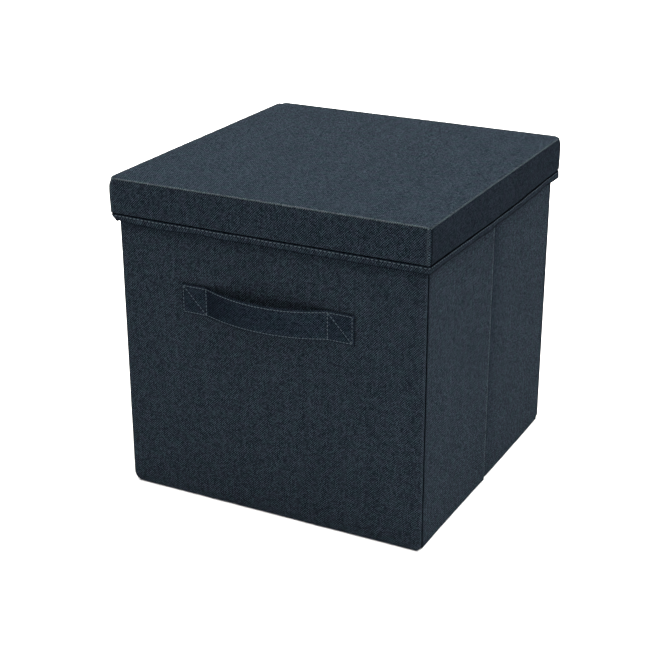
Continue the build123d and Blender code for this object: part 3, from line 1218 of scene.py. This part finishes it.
def handle(side, sign):
    """A folded strap with sewn-down ends and a free, sagging middle."""
    low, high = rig.box(f"{side}_handle")
    half, height, middle = (high.x - low.x) / 2, high.z - low.z, (high.z + low.z) / 2
    wall_y = low.y if sign > 0 else high.y

    def place(t, z, out):
        """Point at t along the strap, z up from its middle line, out from its middle plane."""
        off, sag, lean = strap_line(t, half)
        y = off + STRAP_THICK / 2 + math.sin(lean) * z + math.cos(lean) * out
        up = middle - sag + math.cos(lean) * z - math.sin(lean) * out
        return np.array([-sign * t, wall_y + sign * y, up])

    strap = strap_mesh(f"{side}_strap", place, half, height)
    put(strap, side, "strap_cloth", f"{side}_handle")
    seams = strap_seams(place, half, height, sign)
    stitches(f"{side}_strap_stitching", seams, side, STRAP_STITCH)


handle("front", -1)
handle("back", 1)


# =============================================== cloth that bends across the folds
# painted shade: the strips deep in the folds are painted darker
STRIP_THICK, STRIP_SHADE = 0.4 * MM, -0.5


def hinge_strip(name, start, end, bodies, steps, bends):
    """Narrow cloth between two panel edges, as tall as the walls.

    steps are the places of its columns along the way from start to end, and it
    bends between the two places in bends.
    """
    low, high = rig.box("right_rear_cover")
    start, end = np.array(start), np.array(end)
    heights = np.linspace(low.z + 1 * MM, high.z - 1 * MM, 40)
    points = [(*(start + (end - start) * s), z) for z in heights for s in steps]
    width = np.linalg.norm(end - start)
    uvs = [(s * width, z) for z in heights for s in steps]
    n = len(steps)
    faces = [
        (i * n + j, i * n + j + 1, (i + 1) * n + j + 1, (i + 1) * n + j)
        for i in range(len(heights) - 1)
        for j in range(n - 1)
    ]
    tones = np.full(len(points), STRIP_SHADE)
    strip = thicken(make_object(name, points, faces, uvs, OUTER, tones=tones), STRIP_THICK)
    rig.slot(strip, "outer_cloth")
    if len(bodies) == 1:
        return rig.ride(strip, *bodies)
    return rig.blend(strip, *bodies, *[(*(start + (end - start) * s), 0) for s in bends])


STRIP_REACH = 1.2 * MM          # how far a strip runs behind the cloth of each panel
STRIP_COLUMNS = 9
wall_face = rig.box("right_rear_cover")[1].x
# where each fold starts and ends, and how far inside the wall's face its strip lies
spans = {
    "front": (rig.box("front_wall_cover")[1].y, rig.box("right_front_cover")[0].y + GROOVE, 3.2 * MM),
    "middle": (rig.box("right_front_cover")[1].y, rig.box("right_rear_cover")[0].y, 1.3 * MM),
    "rear": (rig.box("right_rear_cover")[1].y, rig.box("rear_corner_cloth_right")[0].y, 2.4 * MM),
}
for side, sign in (("right", 1), ("left", -1)):
    pairs = {
        # the linkage is opened at the front left corner, where the strip stays on the front wall
        "front": ("front", "right_front") if side == "right" else ("front",),
        "middle": (f"{side}_front", f"{side}_rear"),
        "rear": (f"{side}_rear", "back"),
    }
    for fold, (near, far, inset) in spans.items():
        x = sign * (wall_face - inset)
        ends = ((x, near - STRIP_REACH), (x, far + STRIP_REACH))
        steps, bends = np.linspace(0, 1, STRIP_COLUMNS), (0, 1)
        if fold == "middle":
            # it turns back on itself, so it is only free to bend between the two edges
            tucked = STRIP_REACH / (ends[1][1] - ends[0][1])
            steps, bends = (0, tucked, 1 - tucked, 1), (tucked, 1 - tucked)
        hinge_strip(f"{fold}_fold_cloth_{side}", *ends, pairs[fold], steps, bends)

# ================================================================== CAD boards
for name, node in frame["nodes"].items():
    if name.endswith("_board"):
        node.data.materials.clear()
        node.data.materials.append(BOARD)
        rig.slot(node, "greyboard")

# ===================================================== floor, lights and camera
bpy.ops.mesh.primitive_grid_add(x_subdivisions=8, y_subdivisions=8, size=14, location=(0, 0, -0.2 * MM))
floor = bpy.context.object
floor.name = "studio_floor"
floor.data.materials.append(pale_floor())
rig.stage(floor)


def area_light(name, place, target, size, power, colour=(1, 1, 1)):
    light = bpy.data.lights.new(name, "AREA")
    light.color = colour
    light.shape = "RECTANGLE"
    light.size, light.size_y = size
    light.energy = power
    lamp = bpy.data.objects.new(name, light)
    lamp.location = place
    lamp.rotation_euler = (Vector(target) - Vector(place)).to_track_quat("-Z", "Y").to_euler()
    bpy.context.scene.collection.objects.link(lamp)


area_light("overhead", (0.3, 0.8, 3.0), (0.1, 0.6, 0), (6.0, 6.0), 600, (1.0, 0.985, 0.95))
area_light("right_side", (2.6, 0.3, 0.9), (0, 0, 0.15), (1.6, 1.4), 13)
world = bpy.data.worlds.new("studio")
world.use_nodes = True
world.node_tree.nodes["Background"].inputs["Color"].default_value = (0.97, 0.99, 1.05, 1)
world.node_tree.nodes["Background"].inputs["Strength"].default_value = 0.42
bpy.context.scene.world = world
bpy.context.scene.view_settings.view_transform = "Standard"

# the camera stands in front and to the right, and looks down at the box
CAMERA_PLACE = (0.6252, -1.2460, 0.7105)
heading, downward = math.radians(27.07), math.radians(22.62)
camera_data = bpy.data.cameras.new("camera")
camera_data.sensor_width = 36
camera_data.lens = 78.5
camera = bpy.data.objects.new("camera", camera_data)
camera.location = CAMERA_PLACE
forward = Vector((
    -math.sin(heading) * math.cos(downward),
    math.cos(heading) * math.cos(downward),
    -math.sin(downward),
))
camera.rotation_euler = forward.to_track_quat("-Z", "Y").to_euler()
bpy.context.scene.collection.objects.link(camera)
bpy.context.scene.camera = camera

# ==================================================================== hand over
for piece, flat, holders in sheets:
    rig.sheet(piece, flat=flat, held="stretched", rests_on=holders)
visual_bounds = [list(corner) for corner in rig.bounds()]
with open("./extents.json", "w") as f:
    json.dump({"cad": cad_bounds, "visual": visual_bounds}, f)
